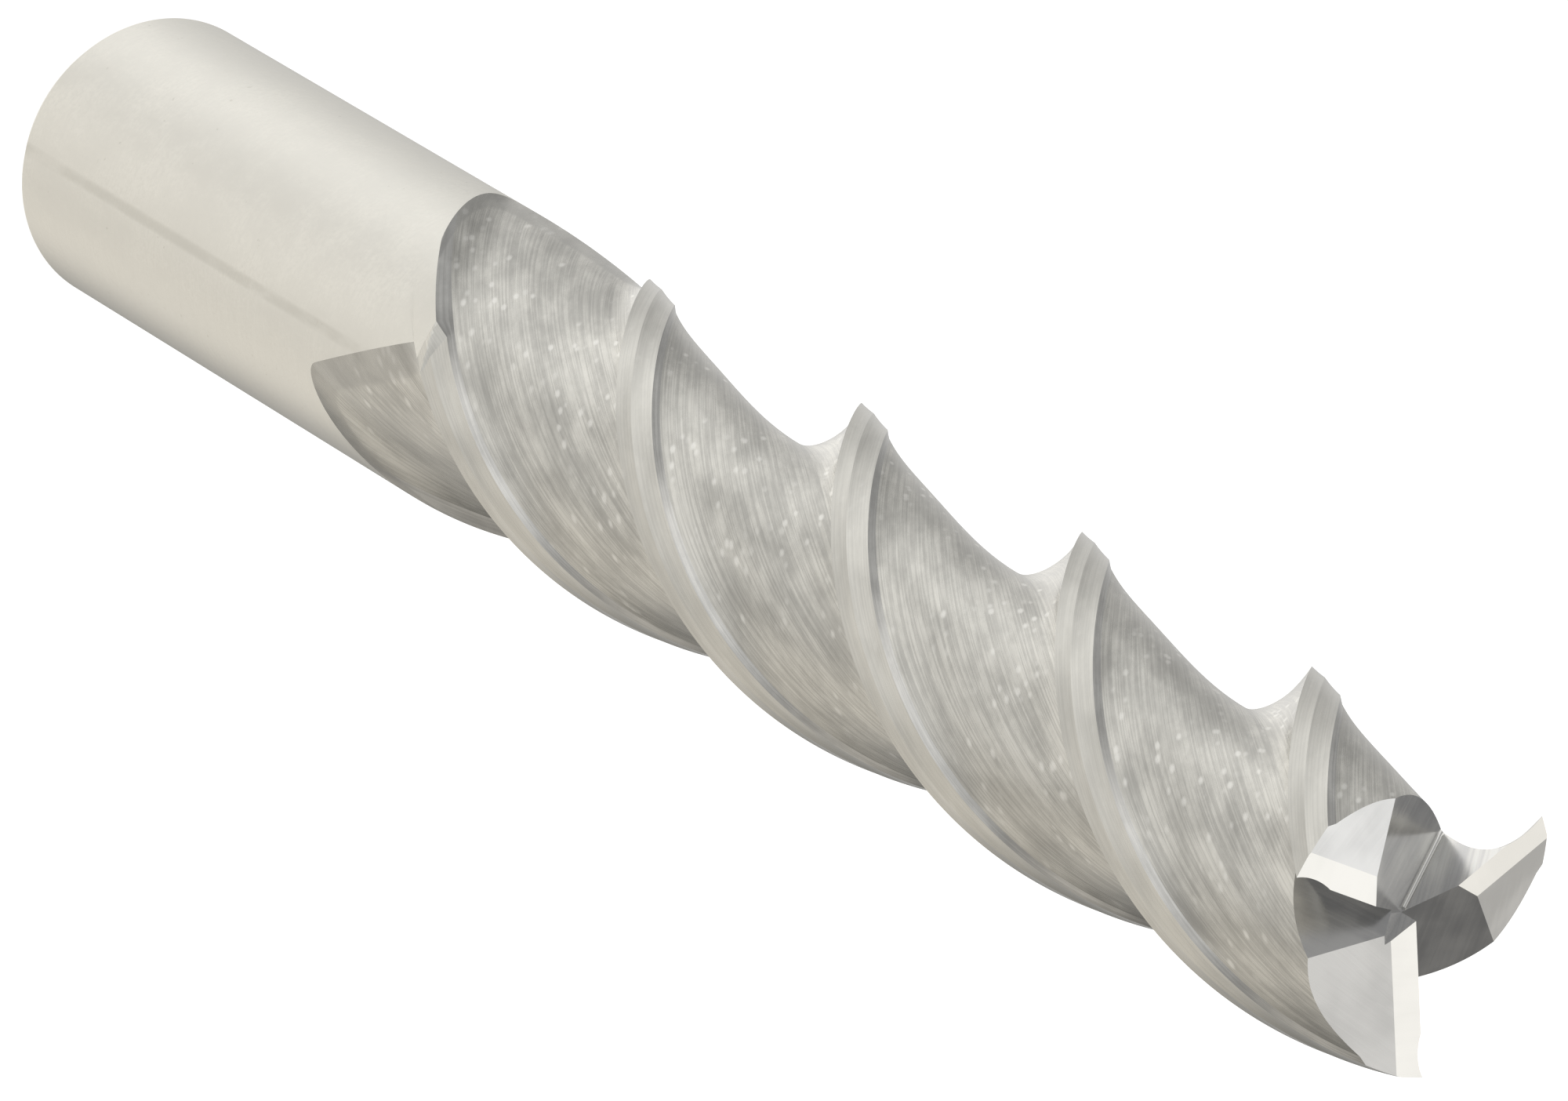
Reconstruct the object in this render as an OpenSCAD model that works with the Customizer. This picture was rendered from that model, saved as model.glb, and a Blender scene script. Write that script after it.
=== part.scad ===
// Three-flute solid carbide end mill, square end, right-hand cut and right-hand helix.
// The tool stands on the flat back face of its shank: +Z runs along the axis to the cutting end.
// The real tool is one ground blank. Its regions are separate solids that meet face to face.

/* [Overall] */
// Length from the back face to the cutting corners, mm
overall_l = 152.4; // [130:0.1:180]
// Diameter over the cutting edges, mm
cutter_d = 19.05; // [16:0.05:22]
// Length of cut: the relieved part of the teeth, mm
cut_l = 101.6; // [70:0.1:105]
// Helix angle of the flutes, degrees
helix_angle = 38; // [30:0.5:42]

/* [Shank] */
// Diameter of the plain shank, mm
shank_d = 19.05; // [16:0.05:22]
// Height of the chamfer round the back face, mm
back_chamfer_h = 1.0; // [0.5:0.1:2]
// Radial width of the chamfer round the back face, mm
back_chamfer_w = 0.6; // [0.3:0.1:1.2]

/* [Flute section] */
// Diameter of the web left between the flute bottoms, mm
core_d = 11.0; // [10.6:0.1:11.6]
// Radial rake of the side cutting edges, degrees
rake_angle = 18; // [10:0.5:20]
// How far ahead of its cutting edge a flute is deepest, degrees
valley_angle = 16; // [14:0.5:20]
// Reach of the curve that hooks down from the cutting edge, mm
hook_reach = 1.6; // [1.2:0.1:2]
// Reach of the curve where the hook meets the flute bottom, mm
bottom_reach = 1.5; // [1:0.1:2]
// Reach of the curve that leaves the flute bottom towards the heel, mm
back_reach = 5.4; // [4.5:0.1:6]
// Reach of the curve that arrives at the heel, mm
heel_reach = 3.2; // [2:0.1:4]
// Slope of the flute's back where it meets the heel, degrees
heel_slope = 30; // [20:1:36]

/* [Lands] */
// Width of the primary land behind the cutting edge, mm
land_w = 1.25; // [0.8:0.05:1.5]
// Relief angle of the primary land, degrees
land_relief = 12; // [6:0.5:14]
// Width of the secondary land, mm
second_land_w = 1.6; // [1.2:0.05:2]
// Relief angle of the secondary land, degrees
second_relief = 28; // [20:0.5:30]
// Angle from the cutting edge back to the foot of the heel, degrees
heel_angle = 19.8; // [19:0.1:22]
// Radius at the foot of the heel, as a share of the cutter radius
heel_share = 0.894; // [0.87:0.002:0.9]

/* [Run-out] */
// Distance from the tip to the end of a flute at its cutting edge side, mm
runout_start = 102.3; // [101.6:0.1:106]
// Further length that a flute runs on towards its heel side, mm
runout_slant = 14.2; // [8:0.1:15]
// How far the heel side's end curls back towards the tip, mm
runout_curl = 9; // [5:0.1:10]
// Radius of the wheel that lifts out of a flute, mm
wheel_r = 38; // [20:1:60]
// How far short of the length of cut the full relief of the lands stops, mm
relief_short = 1.3; // [0.5:0.1:3]
// Length of the ramp where the relief of the lands ends, mm
relief_ramp = 1; // [0.4:0.1:2]
// Angle from the cutting edge back to the top of the heel, past the relief, degrees
heel_top_angle = 15.5; // [13:0.1:17]

/* [End teeth] */
// Dish of the end cutting edges, falling towards the axis, degrees
dish_angle = 3; // [1:0.5:5]
// Width of the end teeth's primary relief, mm
end_land_w = 1.6; // [1:0.1:2]
// Primary relief angle of the end teeth, degrees
end_relief = 8; // [5:0.5:12]
// Secondary relief angle of the end teeth, degrees
end_second_relief = 20; // [15:0.5:25]
// Where the gashes cut off the two short end teeth, mm from the axis
short_gash_x = 3.2; // [3:0.1:4]
// Slope of the gash walls behind the two short end teeth, degrees
short_gash_slope = 33; // [28:1:40]
// Heading of those gash walls, ahead of the cutting corner, degrees
short_gash_heading = 212.6; // [208:0.1:216]
// Where the gash cuts off the long end tooth, mm from the axis
long_gash_x = 0.5; // [0.3:0.1:0.8]
// Slope of the gash wall behind the long end tooth, degrees
long_gash_slope = 47; // [40:1:50]
// Heading of that gash wall, ahead of the cutting corner, degrees
long_gash_heading = 211; // [208:0.1:218]

/* [Fineness] */
// Twist between two rings of points along a flute, degrees
ring_twist = 7; // [5:1:10]
// Steps in each of the two curves of a flute
curve_steps = 8; // [6:1:12]

/* [Hidden] */
flutes = 3;
pitch_angle = 360 / flutes;
cutter_r = cutter_d / 2;
core_r = core_d / 2;
lead = PI * cutter_d / tan(helix_angle);
// the teeth reach a little past the flutes' furthest run-out, and the plain shank lies behind
runout_curve_back = 1.9;
flute_l = runout_start + runout_slant - runout_curve_back;
shank_l = overall_l - flute_l;
// the web cylinder lies a little inside the flute bottoms, and the teeth wrap it
web_gap = 0.3;
web_r = core_r - web_gap;
inner_steps = 12;
tooth_inner_r = web_r / cos(pitch_angle / inner_steps / 2);
// angle ahead of its cutting edge at which a flute's run-out begins to curl back
curl_angle = 76;
curl_power = 2.5;
heel_wall_angle = pitch_angle - heel_top_angle;
relief_l = cut_l - relief_short;
// a short stretch above the tip that the end faces cut away
tip_spare = 1;
big = 200;
shank_color = [0.80, 0.80, 0.78];
flute_color = [0.70, 0.69, 0.68];
web_color = [0.62, 0.61, 0.61];

function polar(r, a) = [r * cos(a), r * sin(a)];
function angle_of(p) = atan2(p[1], p[0]);
function bezier(a, b, c, d, t) =
    a * pow(1 - t, 3) + 3 * b * t * pow(1 - t, 2) + 3 * c * t * t * (1 - t) + d * pow(t, 3);

// Part of the way from one number or point to another.
function mix(from, to, share) = from + (to - from) * share;

// Corner points of one flute, seen from the tip, with its own cutting edge on +X.
edge_p = [cutter_r, 0];
valley_p = polar(core_r, valley_angle);
valley_dir = polar(1, valley_angle + 90);
foot_angle = pitch_angle - heel_angle;
foot_p = polar(cutter_r * heel_share, foot_angle);
foot_dir = polar(1, foot_angle + 90 - heel_slope);

// The hook runs from the cutting edge down to the flute bottom, and the back on up to the heel.
hook = [for (i = [0:curve_steps])
    bezier(edge_p, edge_p - hook_reach * polar(1, rake_angle),
        valley_p - bottom_reach * valley_dir, valley_p, i / curve_steps)];
back = [for (i = [0:curve_steps])
    bezier(valley_p, valley_p + back_reach * valley_dir,
        foot_p - heel_reach * foot_dir, foot_p, i / curve_steps)];

// The two relieved lands fall away behind the cutting edge.
land_p = edge_p - land_w * [sin(land_relief), cos(land_relief)];
second_p = land_p - second_land_w * [sin(second_relief), cos(second_relief)];

// The heel wall goes down from the second land to the flute behind the tooth.
heel_top_p = polar(cutter_r, -heel_top_angle);
heel_foot_p = polar(norm(foot_p), foot_angle - pitch_angle);
wall_steps = 3;
land_steps = 2;

// Points of one tooth's outside, from the valley ahead of it to the valley behind it. Each is
// [where it is, where it is past the relief, angle at the run-out's end, is it on a land].
function on_hook(i) = [hook[i], hook[i], valley_angle * i / curve_steps, false];
function on_land(p, past) = [p, polar(cutter_r, past), past, true];
function on_first_land(share) =
    let (p = mix(edge_p, land_p, share))
    on_land(p, angle_of(p));
function on_second_land(share) =
    on_land(mix(land_p, second_p, share), mix(angle_of(land_p), -heel_top_angle, share));
function on_wall(share) =
    let (p = mix(second_p, heel_foot_p, share), past = mix(heel_top_p, heel_foot_p, share))
    [p, past, angle_of(past), false];
function on_back(i) =
    let (p = polar(norm(back[i]), angle_of(back[i]) - pitch_angle))
    [p, p, angle_of(p), false];
tooth_outline = concat(
    [for (i = [curve_steps:-1:1]) on_hook(i)],
    [for (i = [0:land_steps]) on_first_land(i / land_steps)],
    [for (i = [1:land_steps]) on_second_land(i / land_steps)],
    [for (i = [1:wall_steps - 1]) on_wall(i / wall_steps)],
    [for (i = [curve_steps:-1:0]) on_back(i)]
);

// How far from the tip a flute has run out, at an angle ahead of its own cutting edge.
function runout_end(a) =
    let (curl = max(0, a - curl_angle) / (heel_wall_angle - curl_angle))
    runout_start + runout_slant * a / heel_wall_angle - runout_curl * pow(curl, curl_power);
// Over the lands it goes evenly from there to the end beside the heel of the flute behind.
function end_of(p) =
    p[3] ? mix(runout_end(0), runout_end(heel_wall_angle), -p[2] / heel_top_angle)
    : runout_end(min(heel_wall_angle, p[2] < 0 ? p[2] + pitch_angle : p[2]));

function share_of(part, whole) = whole > 0.0001 ? part / whole : 1;

// The relief of the lands and the wall ends on a ramp that rises to the outside of the blank.
ramp_slope = (cutter_r - norm(second_p)) / relief_ramp;
function land_point(p, dist) =
    let (
        low = norm(p[0]),
        r = min(cutter_r, low + max(0, dist - relief_l) * ramp_slope),
        risen = dist > relief_l ? share_of(r - low, cutter_r - low) : 0
    )
    polar(r, mix(angle_of(p[0]), p[2], risen) - 360 * dist / lead);

// The wheel's arc lifts the flute bottom out of the blank.
function flute_point(p, dist) =
    let (
        low = norm(p[1]),
        unrelieved = max(0, min(1, (dist - relief_l) / relief_ramp)),
        start = end_of(p) - sqrt(2 * wheel_r * (cutter_r - low)),
        past = max(0, dist - start),
        q = mix(p[0], p[1], unrelieved),
        r = min(cutter_r, norm(q) + past * past / (2 * wheel_r)),
        risen = max(0, share_of(r - low, cutter_r - low))
    )
    polar(r, mix(angle_of(q), p[2], risen) - 360 * dist / lead);

function outline_point(p, dist) =
    let (q = p[3] ? land_point(p, dist) : flute_point(p, dist))
    [q[0], q[1], overall_l - dist];

// Rings of points along the tooth, by their distance from the tip: even ones as far as the relief
// goes, one past its ramp, then more up to the run-out's end, which every point reaches at once.
full_rings = ceil((relief_l + tip_spare) / (lead * ring_twist / 360));
runout_rings = 10;
last_rings = 6;
ring_count = full_rings + 1 + runout_rings + last_rings;
function ring_dist(j, end) =
    j <= full_rings ? mix(-tip_spare, relief_l, j / full_rings)
    : j <= full_rings + 1 + runout_rings
        ? mix(relief_l + relief_ramp, end, (j - full_rings - 1) / runout_rings)
    : mix(end, flute_l, (j - full_rings - 1 - runout_rings) / last_rings);

function inner_point(i, dist) =
    let (a = valley_angle - pitch_angle + i * pitch_angle / inner_steps)
    let (q = polar(tooth_inner_r, a - 360 * dist / lead))
    [q[0], q[1], overall_l - dist];

function ring(j) = concat(
    [for (p = tooth_outline) outline_point(p, ring_dist(j, end_of(p)))],
    [for (i = [0:inner_steps]) inner_point(i, ring_dist(j, runout_start + runout_slant / 2))]
);

module swept_tooth() {
    count = len(tooth_outline) + inner_steps + 1;
    last = ring_count;
    points = [for (j = [0:last]) each ring(j)];
    sides = [for (j = [0:last - 1], i = [0:count - 1])
        let (
            a = j * count + i,
            b = j * count + (i + 1) % count,
            c = b + count,
            d = a + count
        )
        each [[a, c, b], [a, d, c]]];
    top = [for (i = [0:count - 1]) i];
    bottom = [for (i = [count - 1:-1:0]) last * count + i];
    polyhedron(points = points, faces = concat([top], sides, [bottom]), convexity = 10);
}

// Everything below a plane through a point, on the side away from its normal.
module below(point, normal) {
    lean = acos(normal[2] / norm(normal));
    heading = atan2(normal[1], normal[0]);
    translate(point)
        rotate([0, lean, heading])
            translate([-big, -big, -2 * big])
                cube([2 * big, 2 * big, 2 * big]);
}

// One end tooth, with its corner on +X: two relief faces behind the end cutting edge,
// the gash face in front of it, and the wall of the next gash at its inner end.
module end_tooth(gash_point, gash_heading, gash_slope) {
    dish = tan(dish_angle);
    relief = tan(end_relief);
    second = tan(end_second_relief);
    break_p = [cutter_r, -end_land_w, -end_land_w * relief];
    intersection() {
        below([cutter_r, 0, 0], [-dish, -relief, 1]);
        below(break_p, [-dish, -second, 1]);
        below([cutter_r, 0, 0], [0, 1, 0]);
        below(gash_point, [each polar(sin(gash_slope), gash_heading), cos(gash_slope)]);
    }
}

// The three end teeth together: two short ones, and one that reaches the axis. The gash between
// the first two also clears the long tooth's far end.
module end_form() {
    short_p = [short_gash_x, 0, -(cutter_r - short_gash_x) * tan(dish_angle)];
    long_p = [long_gash_x, -end_land_w,
        -(cutter_r - long_gash_x) * tan(dish_angle) - end_land_w * tan(end_relief)];
    short_wall = [each polar(sin(short_gash_slope), short_gash_heading), cos(short_gash_slope)];
    translate([0, 0, overall_l]) {
        end_tooth(short_p, short_gash_heading, short_gash_slope);
        rotate([0, 0, pitch_angle])
            end_tooth(short_p, short_gash_heading, short_gash_slope);
        difference() {
            rotate([0, 0, 2 * pitch_angle])
                end_tooth(long_p, long_gash_heading, long_gash_slope);
            intersection() {
                below([0, 0, 0], [0, -1, 0]);
                rotate([0, 0, pitch_angle])
                    below(short_p, -short_wall);
            }
        }
    }
}

module shank() {
    r = shank_d / 2;
    color(shank_color)
        rotate_extrude($fn = 96)
            polygon([
                [0, 0],
                [r - back_chamfer_w, 0],
                [r, back_chamfer_h],
                [r, shank_l],
                [0, shank_l]
            ]);
}

module core_web() {
    color(web_color)
        intersection() {
            translate([0, 0, shank_l])
                cylinder(r = web_r, h = flute_l + tip_spare, $fn = 72);
            end_form();
        }
}

module tooth(index) {
    color(flute_color)
        resize([0, 0, 0])
            intersection() {
                rotate([0, 0, index * pitch_angle])
                    swept_tooth();
                end_form();
            }
}

module tooth_1() { tooth(0); }
module tooth_2() { tooth(1); }
module tooth_3() { tooth(2); }

shank();
core_web();
tooth_1();
tooth_2();
tooth_3();
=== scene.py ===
import math

import bmesh
import bpy
import numpy as np
from mathutils import Matrix, Vector


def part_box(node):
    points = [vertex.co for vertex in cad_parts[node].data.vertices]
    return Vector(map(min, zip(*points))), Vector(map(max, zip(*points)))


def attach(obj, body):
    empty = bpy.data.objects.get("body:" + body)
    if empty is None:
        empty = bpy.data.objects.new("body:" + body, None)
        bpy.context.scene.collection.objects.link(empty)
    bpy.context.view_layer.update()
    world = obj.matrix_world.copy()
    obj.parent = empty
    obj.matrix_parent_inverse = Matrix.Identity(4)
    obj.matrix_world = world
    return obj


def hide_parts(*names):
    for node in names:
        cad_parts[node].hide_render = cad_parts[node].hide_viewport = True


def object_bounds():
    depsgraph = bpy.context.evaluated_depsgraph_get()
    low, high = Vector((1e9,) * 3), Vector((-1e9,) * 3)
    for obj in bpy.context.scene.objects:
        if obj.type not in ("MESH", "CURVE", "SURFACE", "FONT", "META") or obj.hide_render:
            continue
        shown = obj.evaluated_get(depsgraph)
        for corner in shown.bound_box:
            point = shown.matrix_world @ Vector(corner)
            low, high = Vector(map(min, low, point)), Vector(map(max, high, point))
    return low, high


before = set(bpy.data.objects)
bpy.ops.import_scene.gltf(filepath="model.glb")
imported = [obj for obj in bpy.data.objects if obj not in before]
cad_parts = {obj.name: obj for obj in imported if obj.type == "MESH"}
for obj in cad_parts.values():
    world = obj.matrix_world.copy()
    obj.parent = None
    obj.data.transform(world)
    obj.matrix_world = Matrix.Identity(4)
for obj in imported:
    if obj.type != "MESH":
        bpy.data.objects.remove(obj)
cad_lo, cad_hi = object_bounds()

# Sizes below are in millimetres, and a mesh is brought to metres where it is made.
MM = 0.001


# ---------------------------------------------------------------- sizes

# The boxes of the CAD solids give the tool's length and its diameters.
shank_lo, shank_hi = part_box("shank")
web_lo, web_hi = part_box("core_web")
overall_l = cad_hi.z / MM
cutter_r = (cad_hi.x - cad_lo.x) / 2 / MM
shank_r = (shank_hi.x - shank_lo.x) / 2 / MM
shank_l = shank_hi.z / MM
web_r = (web_hi.x - web_lo.x) / 2 / MM
flute_l = overall_l - shank_l

helix_angle = math.radians(38)
lead = 2 * math.pi * cutter_r / math.tan(helix_angle)
pitch = math.radians(120)

# The back face's chamfer, and the narrow flat ring inside it.
back_chamfer_h = 1.0
back_chamfer_w = 0.6
back_rim_w = 0.05

# The section: the flute's valley just outside the web, the hook that comes down to it from the
# cutting edge, the flute's back, which climbs to a heel, and the two lands behind a cutting edge.
# The reaches shape the curves.
core_margin = 0.3
core_r = web_r + core_margin
rake = math.radians(18)
valley_angle = math.radians(16)
hook_reach = 1.6
bottom_reach = 1.5
back_reach = 5.4
heel_reach = 3.2
heel_slope = math.radians(30)
land_w = 1.25
land_relief = math.radians(12)
second_land_w = 1.6
second_relief = math.radians(28)
heel_angle = math.radians(19.8)
heel_share = 0.894
heel_top = math.radians(15.5)

# Where the wheel leaves the blank, and where the relief of the lands ends on a short ramp. Past
# its raised share, the ramp counts as plain blank. The run-out's start and relief_l are from the tip.
runout_start = 102.3
runout_slant = 14.2
runout_curl = 9.0
curl_power = 2.5
curl_angle = math.radians(76)
wheel_r = 38.0
relief_l = 100.3
relief_ramp = 1.0
raised_share = 0.98

dish = math.radians(3)
end_land_w = 1.6
end_relief = math.radians(8)
end_second = math.radians(20)

# A gash's wall: how far from the axis it meets its end tooth's edge, its heading and its slope.
short_gash = (3.2, math.radians(212.6), math.radians(33))
long_gash = (0.5, math.radians(211), math.radians(47))

# The rounding along the bottom of a gash, and how far it reaches from the axis.
root_r = 0.2
root_reach = (0.3, 14.0)

# How finely the meshes are divided.
HOOK_STEPS = 26
BACK_STEPS = 44
LAND_STEPS = 6
WALL_STEPS = 6
FULL_STEP = 0.32
RAMP_RINGS = 6
RUNOUT_RINGS = 60
LAST_RINGS = 24
INNER_STEPS = 72
ROOT_STEPS = 5
SHANK_SEGMENTS = 384
SHANK_RINGS = 24
CHAMFER_STEPS = 4

# The teeth and the web are made longer than the tool by this, and then cut to the end's shape.
SPARE_L = 1.0

# A rise smaller than this counts as none, and a turn steeper than this is a sharp edge.
SMALLEST_RISE = 1e-4
SHARP_ANGLE = math.radians(9)

# In metres: the size of a block before it is cut, and the distances that count as none.
BLOCK_SIZE = 0.4
CUT_DISTANCE = 1e-9
JOIN_DISTANCE = 3e-6


def polar(r, a):
    return np.array([r * math.cos(a), r * math.sin(a)])


def bezier(a, b, c, d, steps):
    t = np.linspace(0, 1, steps + 1)[:, None]
    return a * (1 - t) ** 3 + 3 * b * t * (1 - t) ** 2 + 3 * c * t * t * (1 - t) + d * t**3


def straight(a, b, steps):
    t = np.linspace(0, 1, steps + 1)[:, None]
    return a * (1 - t) + b * t


# ---------------------------------------------------------------- outline of one tooth

# One flute seen from the tip, with its own cutting edge on +X.
edge_p = np.array([cutter_r, 0.0])
valley_p = polar(core_r, valley_angle)
valley_dir = polar(1, valley_angle + math.pi / 2)
foot_a = pitch - heel_angle
foot_p = polar(cutter_r * heel_share, foot_a)
foot_dir = polar(1, foot_a + math.pi / 2 - heel_slope)
hook = bezier(
    edge_p,
    edge_p - hook_reach * polar(1, rake),
    valley_p - bottom_reach * valley_dir,
    valley_p,
    HOOK_STEPS,
)
back = bezier(
    valley_p,
    valley_p + back_reach * valley_dir,
    foot_p - heel_reach * foot_dir,
    foot_p,
    BACK_STEPS,
)
land_p = edge_p - land_w * np.array([math.sin(land_relief), math.cos(land_relief)])
second_p = land_p - second_land_w * np.array([math.sin(second_relief), math.cos(second_relief)])

FLUTE, LAND, SECOND, WALL = range(4)


def angle_of(p):
    return math.atan2(p[1], p[0])


# Columns of the outside, from the valley ahead of the tooth to the valley behind it: where each
# is, where it is past the relief, its angle at the run-out's end, and its kind.
columns = []
for i in range(HOOK_STEPS, 0, -1):
    columns.append((hook[i], hook[i], valley_angle * i / HOOK_STEPS, FLUTE))
first_land = straight(edge_p, land_p, LAND_STEPS)
second_land = straight(land_p, second_p, LAND_STEPS)
for p in first_land:
    columns.append((p, p, angle_of(p), LAND))
for p in second_land[1:]:
    share = (angle_of(p) - angle_of(land_p)) / (angle_of(second_p) - angle_of(land_p))
    end_a = angle_of(land_p) + (-heel_top - angle_of(land_p)) * share
    columns.append((p, polar(cutter_r, end_a), end_a, SECOND))
heel_top_p = polar(cutter_r, -heel_top)
heel_foot_p = polar(math.hypot(*back[-1]), angle_of(back[-1]) - pitch)
for share in np.linspace(0, 1, WALL_STEPS + 1)[1:-1]:
    past = heel_top_p + (heel_foot_p - heel_top_p) * share
    columns.append((second_p + (heel_foot_p - second_p) * share, past, angle_of(past), WALL))
for p in back[::-1]:
    turned = polar(math.hypot(*p), angle_of(p) - pitch)
    columns.append((turned, turned, angle_of(turned), FLUTE))

col_p = np.array([c[0] for c in columns])
col_past = np.array([c[1] for c in columns])
col_end_a = np.array([c[2] for c in columns])
col_kind = np.array([c[3] for c in columns])
on_land = (col_kind == LAND) | (col_kind == SECOND)


def runout_end(angle):
    """How far from the tip the run-out ends, from its own cutting edge round to the heel ahead."""
    wall = pitch - heel_top
    over_land = np.clip(-angle / heel_top, 0, 1)
    own = np.where(angle < -heel_top, angle + pitch, over_land * wall)
    own = np.where(angle > 0, angle, own)
    curl = np.maximum(0, own - curl_angle) / (wall - curl_angle)
    curl = np.where((angle <= 0) & (angle >= -heel_top), over_land, curl)
    return runout_start + runout_slant * own / wall - runout_curl * curl**curl_power


col_end = runout_end(col_end_a)
ramp_slope = (cutter_r - math.hypot(*second_p)) / relief_ramp


# ---------------------------------------------------------------- rings along the tooth

full = np.arange(-SPARE_L, relief_l, FULL_STEP)
full = np.append(full[:-1], relief_l)
ramp = np.linspace(relief_l, relief_l + relief_ramp, RAMP_RINGS + 1)[1:]
runout_shares = np.linspace(0, 1, RUNOUT_RINGS + 1)[1:]
last_shares = np.linspace(0, 1, LAST_RINGS + 1)[1:]

# Each ring's distance from the tip, column by column.
dist_rows = [np.full(len(columns), d) for d in full]
dist_rows += [np.full(len(columns), d) for d in ramp]
dist_rows += [ramp[-1] + (col_end - ramp[-1]) * s for s in runout_shares]
dist_rows += [col_end + (flute_l - col_end) * s for s in last_shares]
dist = np.array(dist_rows)
rows_before_blank = len(full) + len(ramp) + len(runout_shares)


def share_of(part, whole):
    """The part's share of the whole, or 1 where the whole is nothing."""
    return np.where(whole > SMALLEST_RISE, part / np.maximum(whole, SMALLEST_RISE), 1.0)


# The relief of the lands and the wall ends on a ramp, and the wheel's arc lifts the flute bottom
# out of the blank.
past_relief = np.maximum(0, dist - relief_l)
low = np.where(on_land, np.hypot(*col_p.T), np.hypot(*col_past.T))
moved = np.clip(past_relief / relief_ramp, 0, 1)[..., None]
moved = col_p * (1 - moved) + col_past * moved
lift_start = col_end - np.sqrt(2 * wheel_r * np.maximum(cutter_r - low, 0))
flute_r = np.hypot(moved[..., 0], moved[..., 1])
flute_r = flute_r + np.maximum(0, dist - lift_start) ** 2 / (2 * wheel_r)
ring_r = np.minimum(cutter_r, np.where(on_land, low + past_relief * ramp_slope, flute_r))
risen = np.maximum(0, share_of(ring_r - low, cutter_r - low))
risen = np.where(on_land & (dist <= relief_l), 0, risen)
moved_a = np.arctan2(moved[..., 1], moved[..., 0])
start_a = np.where(on_land, np.arctan2(col_p[:, 1], col_p[:, 0]), moved_a)
ring_a = start_a + (col_end_a - start_a) * risen - 2 * math.pi * dist / lead


# ---------------------------------------------------------------- regions of the surface

ROLES = [
    "blank",
    "flute",
    "land",
    "second",
    "wall",
    "end_first",
    "end_second",
    "gash",
    "gash_wall",
    "gash_root",
]
REGION = {role: i for i, role in enumerate(ROLES)}
materials = {role: bpy.data.materials.new("carbide_" + role) for role in ROLES}


# ---------------------------------------------------------------- mesh helpers


def give_materials(obj):
    for role in ROLES:
        obj.data.materials.append(materials[role])


def make_object(name, verts, faces, face_region=None):
    mesh = bpy.data.meshes.new(name)
    mesh.from_pydata([tuple(v * MM for v in p) for p in verts], [], faces)
    mesh.update()
    obj = bpy.data.objects.new(name, mesh)
    bpy.context.scene.collection.objects.link(obj)
    if face_region is not None:
        mesh.polygons.foreach_set("material_index", face_region)
    return obj


def shade(obj):
    """Smooth shading, kept sharp between regions and, except on a gash's root, at steep turns."""
    bm = bmesh.new()
    bm.from_mesh(obj.data)
    for f in bm.faces:
        f.smooth = True
    for e in bm.edges:
        regions = {f.material_index for f in e.link_faces}
        rounded = regions == {REGION["gash_root"]}
        e.smooth = len(regions) == 1 and (rounded or e.calc_face_angle(0) < SHARP_ANGLE)
    bm.to_mesh(obj.data)
    bm.free()


def remove(obj):
    mesh = obj.data
    bpy.data.objects.remove(obj)
    bpy.data.meshes.remove(mesh)


# ---------------------------------------------------------------- teeth

# How far apart the teeth's grinding lines start, so that no two teeth have the same ones.
PATH_APART = 40.0


def region_of(ring, column):
    """The region of a face of the tooth, from where it is and the columns on both sides of it."""
    if column >= len(columns) - 1 or ring >= rows_before_blank - 1:
        return REGION["blank"]
    kinds = {col_kind[column], col_kind[column + 1]}
    if WALL in kinds:
        return REGION["wall"]
    if FLUTE in kinds:
        return REGION["flute"]
    middle = (dist[ring, column] + dist[ring, column + 1]) / 2
    if middle > relief_l + relief_ramp * raised_share:
        return REGION["blank"]
    return REGION["land" if kinds == {LAND} else "second"]


def tooth_mesh(name, index):
    """One tooth. Its inside wraps the web on a shared cylinder, so that no seam shows on the end."""
    turn = index * pitch
    count = len(columns) + INNER_STEPS + 1
    verts = []
    for j in range(len(dist)):
        a = ring_a[j] + turn
        for k in range(len(columns)):
            x, y = ring_r[j, k] * math.cos(a[k]), ring_r[j, k] * math.sin(a[k])
            verts.append((x, y, overall_l - dist[j, k]))
        mean = dist[j].mean()
        for k in range(INNER_STEPS + 1):
            b = valley_angle - pitch + pitch * k / INNER_STEPS - 2 * math.pi * mean / lead + turn
            verts.append((web_r * math.cos(b), web_r * math.sin(b), overall_l - mean))
    faces = []
    region = []
    for j in range(len(dist) - 1):
        for k in range(count):
            a = j * count + k
            b = j * count + (k + 1) % count
            faces.append((a, b, b + count, a + count))
            region.append(region_of(j, k))
    last = (len(dist) - 1) * count
    faces.append(tuple(range(count - 1, -1, -1)))
    faces.append(tuple(last + i for i in range(count)))
    region += [REGION["blank"], REGION["blank"]]
    obj = make_object(name, verts, faces, region)
    give_materials(obj)
    add_path(obj, index, count)
    return obj


def add_path(obj, index, count):
    """Gives a tooth's surface the wheel's path: across it, along it, and the way left to its end."""
    at_point = np.zeros((len(dist), count, 3), np.float32)
    steps = np.hypot(*np.diff(col_p, axis=0).T)
    at_point[:, : len(columns), 0] = np.append(0, np.cumsum(steps)) + index * PATH_APART
    at_point[:, : len(columns), 1] = dist
    at_point[:, : len(columns), 2] = col_end - dist
    corners = np.zeros(len(obj.data.loops), np.int32)
    obj.data.loops.foreach_get("vertex_index", corners)
    path = obj.data.attributes.new("path", "FLOAT_VECTOR", "CORNER")
    path.data.foreach_set("vector", at_point.reshape(-1, 3)[corners].ravel())


# ---------------------------------------------------------------- end faces


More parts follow.
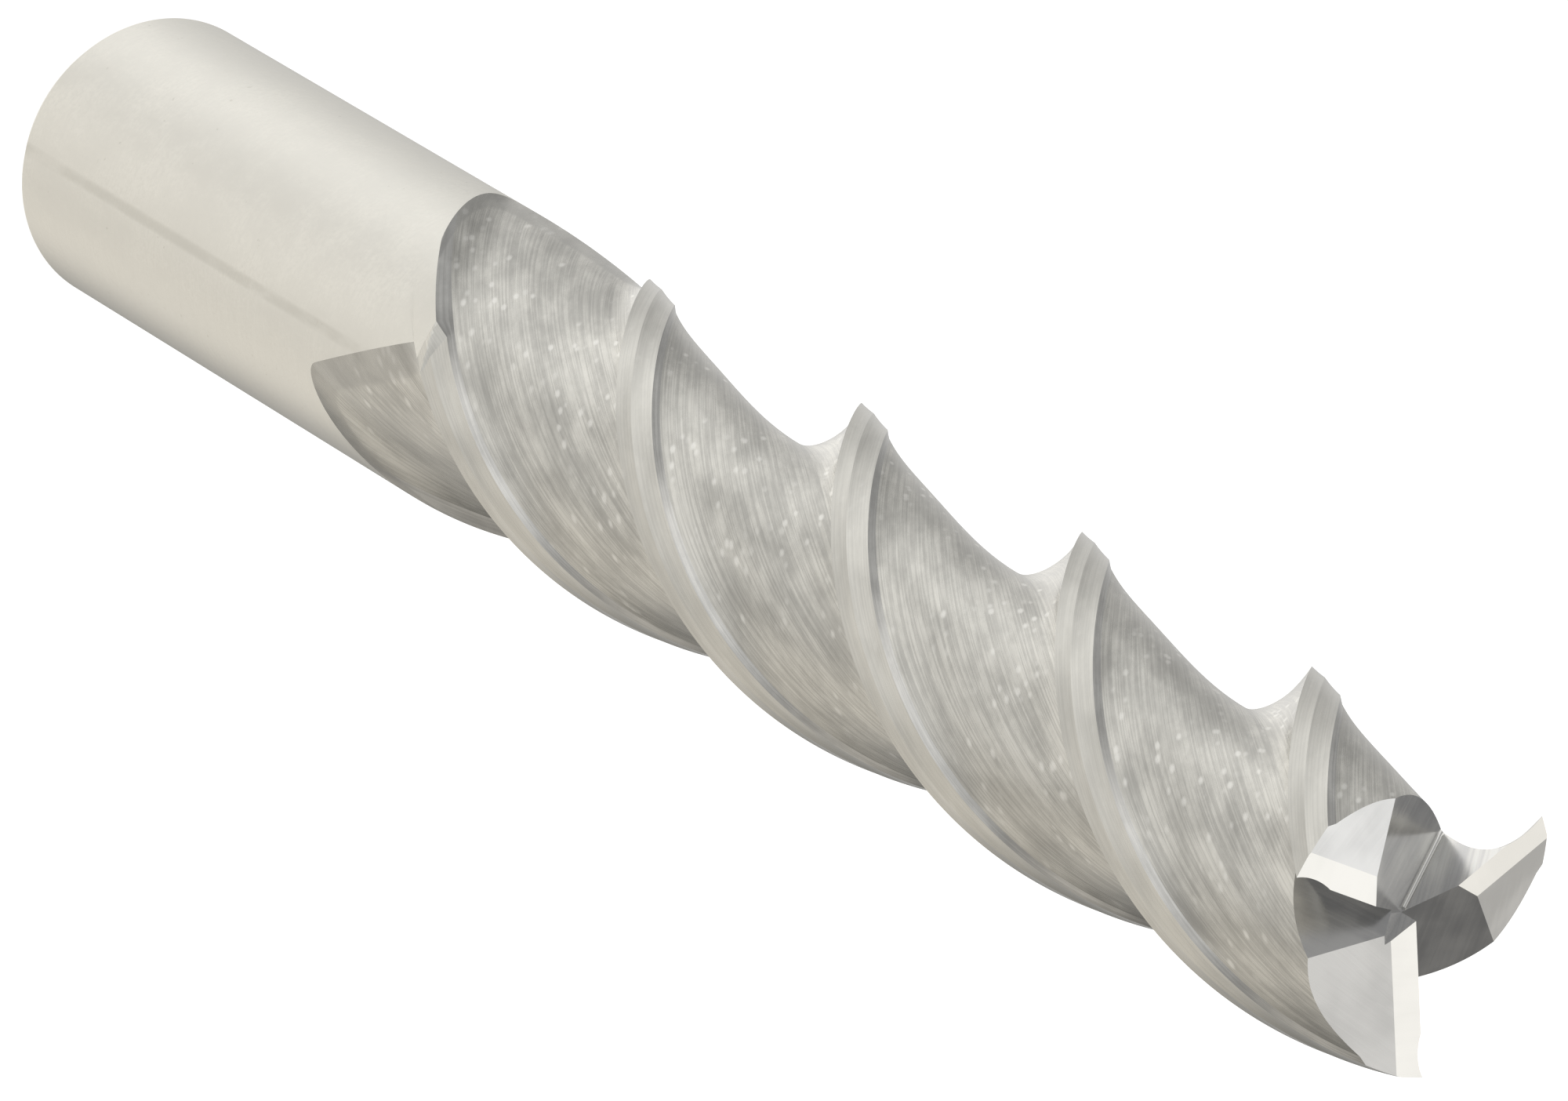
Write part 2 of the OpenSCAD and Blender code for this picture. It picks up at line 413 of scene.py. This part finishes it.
def cut_by(bm, point, normal, region):
    """Cuts away the side of a plane that its normal points to, and closes the cut."""
    geom = bm.verts[:] + bm.edges[:] + bm.faces[:]
    cut = bmesh.ops.bisect_plane(
        bm,
        geom=geom,
        dist=CUT_DISTANCE,
        plane_co=Vector(point) * MM,
        plane_no=Vector(normal).normalized(),
        clear_outer=True,
    )
    edges = [e for e in cut["geom_cut"] if isinstance(e, bmesh.types.BMEdge)]
    made = bmesh.ops.edgenet_fill(bm, edges=edges)
    for f in made["faces"]:
        f.material_index = region


def gash_wall_plane(gash, reaches_axis=False):
    """A point and the normal of the wall that a gash leaves behind an end tooth, in its own frame."""
    gash_x, heading, slope = gash
    y = -end_land_w if reaches_axis else 0
    z = -(cutter_r - gash_x) * math.tan(dish) + y * math.tan(end_relief)
    normal = (
        math.cos(heading) * math.sin(slope),
        math.sin(heading) * math.sin(slope),
        math.cos(slope),
    )
    return Vector((gash_x, y, z)), Vector(normal)


def end_tooth(index, gash, reaches_axis):
    """The block below one end tooth's faces, big enough to hold the whole flute section."""
    bm = bmesh.new()
    bmesh.ops.create_cube(bm, size=BLOCK_SIZE)
    t_dish, t_first, t_second = math.tan(dish), math.tan(end_relief), math.tan(end_second)
    cut_by(bm, (cutter_r, 0, 0), (-t_dish, -t_first, 1), REGION["end_first"])
    step = (cutter_r, -end_land_w, -end_land_w * t_first)
    cut_by(bm, step, (-t_dish, -t_second, 1), REGION["end_second"])
    cut_by(bm, (cutter_r, 0, 0), (0, 1, 0), REGION["gash"])
    cut_by(bm, *gash_wall_plane(gash, reaches_axis), REGION["gash_wall"])
    return block_object(bm, index)


def block_object(bm, index):
    """The object of a block that was made about the tip, turned to its tooth."""
    place = Matrix.Translation((0, 0, overall_l * MM)) @ Matrix.Rotation(index * pitch, 4, "Z")
    bmesh.ops.transform(bm, matrix=place, verts=bm.verts)
    bmesh.ops.recalc_face_normals(bm, faces=bm.faces[:])
    mesh = bpy.data.meshes.new("end_block")
    bm.to_mesh(mesh)
    bm.free()
    obj = bpy.data.objects.new("end_block", mesh)
    bpy.context.scene.collection.objects.link(obj)
    give_materials(obj)
    return obj


def boolean(obj, other, operation):
    mod = obj.modifiers.new("cut", "BOOLEAN")
    mod.object = other
    mod.operation = operation
    mod.solver = "EXACT"
    mod.material_mode = "TRANSFER"
    dg = bpy.context.evaluated_depsgraph_get()
    made = bpy.data.meshes.new_from_object(obj.evaluated_get(dg), depsgraph=dg)
    obj.modifiers.remove(mod)
    old = obj.data
    obj.data = made
    bpy.data.meshes.remove(old)


def clean(obj):
    """Joins the points that a boolean leaves less than a few microns apart."""
    bm = bmesh.new()
    bm.from_mesh(obj.data)
    bmesh.ops.remove_doubles(bm, verts=bm.verts[:], dist=JOIN_DISTANCE)
    bmesh.ops.dissolve_degenerate(bm, edges=bm.edges[:], dist=JOIN_DISTANCE)
    bmesh.ops.holes_fill(bm, edges=[e for e in bm.edges if e.is_boundary], sides=0)
    bm.to_mesh(obj.data)
    bm.free()


def crossing_gash():
    """The gash between the first two teeth, which also clears the long tooth's far end."""
    bm = bmesh.new()
    bmesh.ops.create_cube(bm, size=BLOCK_SIZE)
    cut_by(bm, (0, 0, 0), (0, -1, 0), REGION["gash"])
    place = Matrix.Rotation(pitch, 3, "Z")
    point, normal = gash_wall_plane(short_gash)
    cut_by(bm, place @ point, -(place @ normal), REGION["gash_wall"])
    return block_object(bm, 0)


def gash_root(index, gash_ahead):
    """The rounded corner that the wheel leaves along the bottom of the gash ahead of a tooth."""
    place = Matrix.Rotation(pitch, 3, "Z")
    point, wall = (place @ v for v in gash_wall_plane(gash_ahead))
    face = Vector((0, 1, 0))
    corner = Vector((0, 0, point.z + (wall.x * point.x + wall.y * point.y) / wall.z))
    along = face.cross(wall).normalized()
    middle = (face + wall) * root_r / (1 + face.dot(wall))
    arc = [middle - face.slerp(wall, i / ROOT_STEPS) * root_r for i in range(ROOT_STEPS + 1)]
    section = arc + [arc[-1] - wall * root_r, -middle, arc[0] - face * root_r]
    count = len(section)
    bm = bmesh.new()
    verts = []
    for reach in root_reach:
        verts += [bm.verts.new((corner + along * reach + p) * MM) for p in section]
    for i in range(count):
        m = (i + 1) % count
        side = bm.faces.new((verts[i], verts[m], verts[count + m], verts[count + i]))
        side.material_index = REGION["gash_root" if i < ROOT_STEPS else "gash"]
    for cap in (verts[:count], verts[count:]):
        bm.faces.new(cap).material_index = REGION["gash"]
    return block_object(bm, index)


end_form = end_tooth(0, short_gash, False)
for index, gash, reaches_axis in ((1, short_gash, False), (2, long_gash, True)):
    block = end_tooth(index, gash, reaches_axis)
    if reaches_axis:
        crossing = crossing_gash()
        boolean(block, crossing, "DIFFERENCE")
        remove(crossing)
    boolean(end_form, block, "UNION")
    remove(block)
root = gash_root(0, short_gash)
boolean(end_form, root, "UNION")
remove(root)

teeth = []
for index in range(3):
    tooth = tooth_mesh(f"ground_tooth_{index + 1}", index)
    boolean(tooth, end_form, "INTERSECT")
    teeth.append(tooth)


def web_mesh():
    segments = 3 * INNER_STEPS
    verts = []
    for z in (shank_l, overall_l + SPARE_L):
        for k in range(segments):
            a = 2 * math.pi * k / segments
            verts.append((web_r * math.cos(a), web_r * math.sin(a), z))
    faces = [tuple(range(segments - 1, -1, -1)), tuple(range(segments, 2 * segments))]
    for k in range(segments):
        m = (k + 1) % segments
        faces.append((k, m, segments + m, segments + k))
    obj = make_object("ground_web", verts, faces, [REGION["flute"]] * len(faces))
    give_materials(obj)
    return obj


web = web_mesh()
boolean(web, end_form, "INTERSECT")
clean(web)
remove(end_form)


# ---------------------------------------------------------------- shank


def shank_mesh():
    segments = SHANK_SEGMENTS
    profile = [(shank_r - back_chamfer_w - back_rim_w, 0.0)]
    for i in range(CHAMFER_STEPS + 1):
        t = i / CHAMFER_STEPS
        profile.append((shank_r - back_chamfer_w * (1 - t), back_chamfer_h * t))
    profile += [(shank_r, z) for z in np.linspace(back_chamfer_h, shank_l, SHANK_RINGS + 1)[1:]]
    verts = [(0, 0, 0)]
    for r, z in profile:
        for k in range(segments):
            a = 2 * math.pi * k / segments
            verts.append((r * math.cos(a), r * math.sin(a), z))
    verts.append((0, 0, shank_l))
    faces = []
    for k in range(segments):
        faces.append((0, 1 + (k + 1) % segments, 1 + k))
    for j in range(len(profile) - 1):
        for k in range(segments):
            a = 1 + j * segments + k
            b = 1 + j * segments + (k + 1) % segments
            faces.append((a, b, b + segments, a + segments))
    top = 1 + (len(profile) - 1) * segments
    for k in range(segments):
        faces.append((top + k, top + (k + 1) % segments, len(verts) - 1))
    obj = make_object("ground_shank_body", verts, faces, [REGION["blank"]] * len(faces))
    give_materials(obj)
    return obj


shank = shank_mesh()

for obj in teeth + [web, shank]:
    shade(obj)

node_of = [(shank, "shank"), (web, "core_web")]
node_of += [(tooth, f"tooth_{i + 1}") for i, tooth in enumerate(teeth)]
for obj, node in node_of:
    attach(obj, "root")
    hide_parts(node)


# ---------------------------------------------------------------- grain of the end faces

# A gash's wall and the face across it were ground by one wheel, so their grinding lines follow
# the corner that they share. The face stands upright and the wall leans back: this is about how
# far their normals are turned apart, and how steeply the wall's rises.
GASH_TURN = math.radians(117)
WALL_RISE = math.tan(math.radians(38)) * 1.3
UPRIGHT = 0.1


def gash_lines(normal, heading):
    """The way that the grinding lines run on a gash's wall or on the face across it."""
    on_wall = normal.z > UPRIGHT
    other = heading + GASH_TURN * (1 if on_wall else -1)
    partner = Vector((math.cos(other), math.sin(other), 0 if on_wall else WALL_RISE))
    return normal.cross(partner).normalized()


def add_grain(obj):
    """Gives every face of the end its own flat coordinates, across and along its grinding lines."""
    mesh = obj.data
    grain = mesh.attributes.new("grain", "FLOAT_VECTOR", "CORNER")
    values = np.zeros((len(mesh.loops), 3), np.float32)
    end_regions = {i for role, i in REGION.items() if role.startswith(("end", "gash"))}
    for face in mesh.polygons:
        if face.material_index not in end_regions:
            continue
        normal = face.normal
        if face.material_index in (REGION["gash"], REGION["gash_wall"]):
            along = gash_lines(normal, math.atan2(normal.y, normal.x))
        else:
            radial = Vector((face.center.x, face.center.y, 0)).normalized()
            along = normal.cross(radial).normalized()
        across = along.cross(normal).normalized()
        for loop in face.loop_indices:
            co = mesh.vertices[mesh.loops[loop].vertex_index].co / MM
            values[loop] = (co.dot(across), co.dot(along), face.material_index)
    grain.data.foreach_set("vector", values.ravel())


for obj in teeth + [web]:
    add_grain(obj)


# ---------------------------------------------------------------- materials

# The way from neutral grey to the warm grey of the blank, and a quarter turn of the gloss.
WARM_TINT = (0.038, 0.018, -0.057)
QUARTER_TURN = 0.25


class Nodes:
    """Short names for the shader nodes that the materials below are made of."""

    def __init__(self, mat):
        mat.use_nodes = True
        self.tree = mat.node_tree
        self.shader = self.tree.nodes["Principled BSDF"]

    def link(self, value, socket):
        if isinstance(value, bpy.types.NodeSocket):
            self.tree.links.new(value, socket)
        else:
            socket.default_value = value

    def add(self, kind, inputs=(), **settings):
        node = self.tree.nodes.new(kind)
        for key, value in settings.items():
            setattr(node, key, value)
        for key, value in dict(inputs).items():
            self.link(value, node.inputs[key])
        return node

    def math(self, operation, a, b=0.0, c=0.0):
        node = self.add("ShaderNodeMath", {0: a, 1: b, 2: c}, operation=operation)
        return node.outputs[0]

    def blend(self, a, share, b):
        """A share of a and the rest of b."""
        return self.math("MULTIPLY_ADD", a, share, self.math("MULTIPLY", b, 1 - share))

    def scaled(self, vector, x, y, z):
        node = self.add("ShaderNodeVectorMath", {0: vector, 1: (x, y, z)}, operation="MULTIPLY")
        return node.outputs[0]

    def noise(self, vector, scale, detail=3.0, rough=0.55):
        inputs = {"Vector": vector, "Scale": scale, "Detail": detail, "Roughness": rough}
        return self.add("ShaderNodeTexNoise", inputs).outputs["Fac"]

    def ramp(self, value, low, high, to_low=0.0, to_high=1.0):
        inputs = {
            "Value": value,
            "From Min": low,
            "From Max": high,
            "To Min": to_low,
            "To Max": to_high,
        }
        return self.add("ShaderNodeMapRange", inputs, interpolation_type="SMOOTHSTEP").outputs[0]

    def mix_color(self, share, a, b):
        # The colour sockets share their names with the node's other sockets, so they go by number.
        node = self.add("ShaderNodeMix", {"Factor": share}, data_type="RGBA")
        self.link(a, node.inputs[6])
        self.link(b, node.inputs[7])
        return node.outputs[2]

    def position(self):
        return self.add("ShaderNodeTexCoord").outputs["Object"]

    def helix_tangent(self):
        """The way that the flutes run at each point."""
        split = self.add("ShaderNodeSeparateXYZ", {0: self.position()})
        turn = 2 * math.pi / (lead * MM)
        x = self.math("MULTIPLY", split.outputs["Y"], -turn)
        y = self.math("MULTIPLY", split.outputs["X"], turn)
        return self.add("ShaderNodeCombineXYZ", {"X": x, "Y": y, "Z": 1.0}).outputs[0]

    def bump(self, height, distance):
        return self.add("ShaderNodeBump", {"Height": height, "Distance": distance}).outputs[0]

    def finish(self, color, roughness, normal, tangent=None, anisotropic=0.0):
        self.link(1.0, self.shader.inputs["Metallic"])
        self.link(color, self.shader.inputs["Base Color"])
        self.link(roughness, self.shader.inputs["Roughness"])
        self.link(normal, self.shader.inputs["Normal"])
        if tangent is not None:
            self.link(anisotropic, self.shader.inputs["Anisotropic"])
            self.link(QUARTER_TURN, self.shader.inputs["Anisotropic Rotation"])
            self.link(tangent, self.shader.inputs["Tangent"])


def tone(value, warmth=1.0):
    """Grey of bare carbide, from neutral at warmth 0 to a little yellow at warmth 1."""
    return tuple(value * (1 + tint * warmth) for tint in WARM_TINT) + (1,)


# A faint mark along the blank: where it is around the axis, and how far it reaches to each side.
MARK_ANGLE = math.radians(133)
MARK_REACH = math.radians(3)


def blank_material(mat):
    """Plain outside of the blank: satin, ground round and round, with a faint cloudiness."""
    n = Nodes(mat)
    position = n.position()
    rings = n.noise(n.scaled(position, 0.03, 0.03, 1), 5200, detail=4, rough=0.6)
    grit = n.noise(position, 3000, detail=4, rough=0.7)
    clouds = n.noise(n.scaled(position, 1, 1, 0.6), 260, detail=5, rough=0.68)
    color = n.mix_color(n.ramp(clouds, 0.3, 0.7), tone(0.84), tone(0.94))
    fine = n.blend(rings, 0.25, grit)
    color = n.mix_color(n.ramp(fine, 0.36, 0.6, to_low=0.3), tone(0.84), color)
    # The mark is darker, and comes and goes along its length.
    around = n.add("ShaderNodeVectorMath", {0: n.scaled(position, 1, 1, 0)}, operation="NORMALIZE")
    toward = (math.cos(MARK_ANGLE), math.sin(MARK_ANGLE), 0)
    facing = n.add("ShaderNodeVectorMath", {0: around.outputs[0], 1: toward}, operation="DOT_PRODUCT")
    near_mark = n.ramp(facing.outputs["Value"], math.cos(MARK_REACH), 1.0)
    worn = n.noise(n.scaled(position, 1, 1, 0.3), 500, detail=3, rough=0.6)
    worn = n.ramp(worn, 0.35, 0.6, to_low=0.05, to_high=0.3)
    color = n.mix_color(n.math("MULTIPLY", near_mark, worn), color, tone(0.5, 1.6))
    pits = n.noise(position, 1500, detail=2, rough=0.5)
    color = n.mix_color(n.ramp(pits, 0.72, 0.78, to_high=0.4), color, tone(0.6, 1.4))
    roughness = n.ramp(n.blend(clouds, 0.5, grit), 0.3, 0.7, to_low=0.34, to_high=0.44)
    tangent = n.add("ShaderNodeTangent", direction_type="RADIAL", axis="Z").outputs[0]
    n.finish(color, roughness, n.bump(fine, 2.5e-6), tangent, anisotropic=0.4)


def flute_material(mat, dark, light, rough, specks=1.0, line_depth=3e-6, line_color=0.3):
    """Surface of a flute or land: fine lines along the helix, clouded patches, painted reflection
    bands along the axis and bright specks.
    """
    n = Nodes(mat)
    path = n.add("ShaderNodeAttribute", attribute_name="path").outputs["Vector"]
    surface = n.scaled(path, MM, MM, 0)
    lines = n.noise(n.scaled(surface, 1, 0.016, 1), 8000, detail=3, rough=0.6)
    scores = n.noise(n.scaled(surface, 1, 0.012, 1), 3300, detail=2, rough=0.5)
    clouds = n.noise(n.scaled(surface, 1, 0.5, 1), 420, detail=5, rough=0.68)
    # Broad bands along the axis are painted reflection of the studio's lights, mixed into the clouded
    # patches.
    painted_reflection_bands = n.noise(n.scaled(n.position(), 1, 1, 0.08), 300, detail=3, rough=0.5)
    scratched = n.blend(lines, 0.65, scores)
    patches_and_painted_reflection = n.blend(clouds, 0.6, painted_reflection_bands)
    # The last 2 mm or so before the run-out's end are smoother, and darker with painted shade.
    to_end = n.add("ShaderNodeSeparateXYZ", {0: path}).outputs["Z"]
    early = n.ramp(to_end, 1.5, 2.3, to_low=0.2)
    color = n.mix_color(n.ramp(patches_and_painted_reflection, 0.36, 0.64), dark, light)
    line_share = n.ramp(scratched, 0.42, 0.58, to_low=line_color, to_high=0.0)
    color = n.mix_color(n.math("MULTIPLY", line_share, early), color, tone(0.22, 0.6))
    # Round bright specks lie in clusters.
    dots = n.add(
        "ShaderNodeTexVoronoi",
        {"Vector": n.scaled(surface, 1, 0.7, 1), "Scale": 1200.0, "Randomness": 1.0},
    )
    round_dots = n.ramp(dots.outputs["Distance"], 0.34, 0.1)
    chosen = n.add("ShaderNodeSeparateColor", {0: dots.outputs["Color"]}).outputs[0]
    chosen = n.ramp(chosen, 0.12, 0.45)
    cluster = n.ramp(n.noise(surface, 150, detail=2, rough=0.5), 0.4, 0.55)
    share = n.math("MULTIPLY", n.math("MULTIPLY", round_dots, chosen), cluster)
    color = n.mix_color(n.math("MULTIPLY", share, 0.6 * specks), color, tone(1.0, 0.7))
    # Painted shade: the flute turns darker towards the run-out's end.
    runout_painted_shade = n.ramp(early, 0.2, 1.0, to_low=0.35, to_high=0.0)
    color = n.mix_color(runout_painted_shade, color, tone(0.3, 0.4))
    uneven = n.blend(patches_and_painted_reflection, 0.6, scratched)
    roughness = n.ramp(uneven, 0.36, 0.64, to_low=rough, to_high=rough + 0.12)
    height = n.math("MULTIPLY_ADD", clouds, 0.8, scratched)
    n.finish(color, roughness, n.bump(height, line_depth), n.helix_tangent(), anisotropic=0.5)


def end_material(mat, dark, light, rough, line_scale, contrast):
    """End and gash faces: straight grinding lines, from each face's own grain coordinates."""
    n = Nodes(mat)
    grain = n.add("ShaderNodeAttribute", attribute_name="grain").outputs["Vector"]
    lines = n.noise(n.scaled(grain, 1, 0.02, 1), line_scale, detail=4, rough=0.6)
    broad = n.noise(n.scaled(grain, 1, 0.06, 1), line_scale * 0.3, detail=2, rough=0.5)
    clouds = n.noise(n.position(), 190, detail=3, rough=0.5)
    marks = n.blend(lines, 0.5, broad)
    color = n.mix_color(n.ramp(n.blend(marks, contrast, clouds), 0.38, 0.62), dark, light)
    uneven = n.blend(clouds, 0.5, lines)
    roughness = n.ramp(uneven, 0.33, 0.67, to_low=rough, to_high=rough + 0.08)
    n.finish(color, roughness, n.bump(marks, 3e-6))


blank_material(materials["blank"])
flute_material(materials["flute"], tone(0.56), tone(0.83), rough=0.2)
for role, dark, light in (("land", 0.64, 0.74), ("second", 0.7, 0.82)):
    flute_material(
        materials[role],
        tone(dark),
        tone(light),
        rough=0.16,
        specks=0.2,
        line_depth=2e-6,
        line_color=0.12,
    )
flute_material(
    materials["wall"],
    tone(0.6, warmth=0.6),
    tone(0.84, warmth=0.6),
    rough=0.13,
    specks=0.1,
    line_color=0.25,
)
# These tones are partly the carbide's own grey and partly painted reflected light: the end faces, the
# gash and its root are given lighter tones than the flutes.
end_material(
    materials["end_first"],
    tone(0.88, warmth=0.6),
    tone(0.95, warmth=0.6),
    rough=0.18,
    line_scale=6.0,
    contrast=0.3,
)
end_material(
    materials["end_second"],
    tone(0.78, warmth=0.3),
    tone(0.94, warmth=0.3),
    rough=0.18,
    line_scale=6.0,
    contrast=0.25,
)
end_material(
    materials["gash"],
    tone(0.78, warmth=0.1),
    tone(1.0, warmth=0.5),
    rough=0.2,
    line_scale=3.0,
    contrast=0.9,
)
end_material(
    materials["gash_wall"],
    tone(0.5, warmth=0.0),
    tone(0.7, warmth=0.3),
    rough=0.16,
    line_scale=5.0,
    contrast=0.3,
)
end_material(
    materials["gash_root"],
    tone(0.9, warmth=0.5),
    tone(1.0, warmth=0.5),
    rough=0.2,
    line_scale=5.0,
    contrast=0.3,
)


# ---------------------------------------------------------------- stage and light

# A pale floor that runs up into a pale dome a long way off, which stops just short of its top.
# Neither shows in the metal.
FLOOR_RADII = (1.0, 60.0, 300.0)
DOME_R = 5000.0
DOME_TOP = 1.57
STAGE_RINGS = 24
STAGE_SEGMENTS = 64
STAGE_GLOW = 0.75


def stage_mesh():
    profile = [(r, 0.0) for r in FLOOR_RADII]
    for a in np.linspace(0, DOME_TOP, STAGE_RINGS):
        profile.append((DOME_R * math.cos(a), DOME_R * math.sin(a)))
    verts = []
    for r, z in profile:
        for k in range(STAGE_SEGMENTS):
            a = 2 * math.pi * k / STAGE_SEGMENTS
            verts.append((r * math.cos(a), r * math.sin(a), z))
    faces = []
    for j in range(len(profile) - 1):
        low, high = j * STAGE_SEGMENTS, (j + 1) * STAGE_SEGMENTS
        for k in range(STAGE_SEGMENTS):
            m = (k + 1) % STAGE_SEGMENTS
            faces.append((low + k, low + m, high + m, high + k))
    faces.append(tuple(range(STAGE_SEGMENTS)))
    return make_object("pale_stage", verts, faces)


def stage_material(mat):
    """Matt and faintly speckled, with a soft even glow of its own."""
    n = Nodes(mat)
    speckle = n.noise(n.position(), 40, detail=3, rough=0.6)
    color = n.mix_color(speckle, (0.86, 0.86, 0.855, 1), (0.9, 0.9, 0.895, 1))
    n.link(color, n.shader.inputs["Base Color"])
    n.link(1.0, n.shader.inputs["Roughness"])
    n.link((1.0, 1.0, 0.995, 1), n.shader.inputs["Emission Color"])
    n.link(STAGE_GLOW, n.shader.inputs["Emission Strength"])


stage = stage_mesh()
pale = bpy.data.materials.new("pale_stage")
stage_material(pale)
stage.data.materials.append(pale)
stage.visible_glossy = False
stage.visible_diffuse = False

# Soft studio light: each light is a broad glow from one direction. Its numbers are the direction,
# how tight the glow is, its strength, and how warm it is. A warm light loses more blue than it
# gains red.
STUDIO = [
    ((0.55, 0.50, -0.65), 8.5, 0.68, 0.00),
    ((0.40, 0.90, -0.15), 16.0, 0.50, 0.01),
    ((-0.30, 0.95, 0.00), 3.8, 0.74, 0.00),
    ((0.50, -0.40, 0.75), 4.3, 0.62, -0.01),
    ((-0.05, -0.15, 1.00), 10.0, 0.52, 0.02),
    ((-0.35, 0.30, -0.90), 5.8, 0.60, 0.04),
    ((-0.95, -0.05, -0.35), 11.0, 0.47, 0.06),
    ((-0.50, -0.35, -0.80), 25.0, 0.46, 0.05),
    ((0.25, -0.20, -0.95), 7.0, 0.85, 0.01),
    ((0.20, -0.80, 0.60), 7.5, 0.43, 0.05),
    ((1.00, -0.15, 0.15), 8.0, 0.54, 0.00),
]
ROOM_LIGHT = 0.1
BLUE_LOSS = 1.6


class WorldNodes(Nodes):
    """The same short names for the nodes of the world."""

    def __init__(self, world):
        world.use_nodes = True
        self.tree = world.node_tree
        self.shader = self.tree.nodes["Background"]

    def direction(self):
        return self.add("ShaderNodeTexCoord").outputs["Generated"]


def studio_world(world):
    """A dim even room with every light of the studio added to it."""
    n = WorldNodes(world)
    direction = n.direction()
    total = (ROOM_LIGHT, ROOM_LIGHT, ROOM_LIGHT)
    for toward, tightness, strength, warmth in STUDIO:
        toward = Vector(toward).normalized()
        facing = n.add("ShaderNodeVectorMath", {0: direction, 1: toward}, operation="DOT_PRODUCT")
        falloff = n.math("MULTIPLY_ADD", facing.outputs["Value"], tightness, -tightness)
        glow = n.math("EXPONENT", falloff)
        color = tuple(strength * c for c in (1 + warmth, 1, 1 - BLUE_LOSS * warmth))
        lit = {0: glow, 1: color, 2: total}
        total = n.add("ShaderNodeVectorMath", lit, operation="MULTIPLY_ADD").outputs[0]
    n.link(total, n.shader.inputs["Color"])
    n.link(1.0, n.shader.inputs["Strength"])


bpy.context.scene.world = bpy.data.worlds.new("studio")
studio_world(bpy.context.scene.world)


# ---------------------------------------------------------------- camera

# The camera looks at the cutting end from a long way off, and it is rolled so that the tool lies
# across the picture from the upper left to the lower right. Its distance and its clipping are in
# metres.
CAMERA_TARGET = Vector((-0.478, -0.189, 81.347)) * MM
CAMERA_AZIMUTH = math.radians(111.602)
CAMERA_ELEVATION = math.radians(53.794)
CAMERA_ROLL = math.radians(121.08)
CAMERA_DISTANCE = 1.0252
LENS_MM = 390.79
SENSOR_MM = 36
CLIP_NEAR = 0.05
CLIP_FAR = 20


def make_camera():
    level = math.cos(CAMERA_ELEVATION)
    out = Vector(
        (
            level * math.cos(CAMERA_AZIMUTH),
            level * math.sin(CAMERA_AZIMUTH),
            math.sin(CAMERA_ELEVATION),
        )
    )
    right = (-out).cross(Vector((0, 0, 1))).normalized()
    up = right.cross(-out)
    cam_x = right * math.cos(CAMERA_ROLL) + up * math.sin(CAMERA_ROLL)
    axes = Matrix((cam_x, out.cross(cam_x), out)).transposed()
    camera = bpy.data.objects.new("camera", bpy.data.cameras.new("camera"))
    bpy.context.scene.collection.objects.link(camera)
    camera.data.lens = LENS_MM
    camera.data.sensor_width = SENSOR_MM
    camera.data.clip_start = CLIP_NEAR
    camera.data.clip_end = CLIP_FAR
    place = Matrix.Translation(CAMERA_TARGET + out * CAMERA_DISTANCE)
    camera.matrix_world = place @ axes.to_4x4()
    return camera


bpy.context.scene.camera = make_camera()
bpy.context.scene.view_settings.view_transform = "Standard"
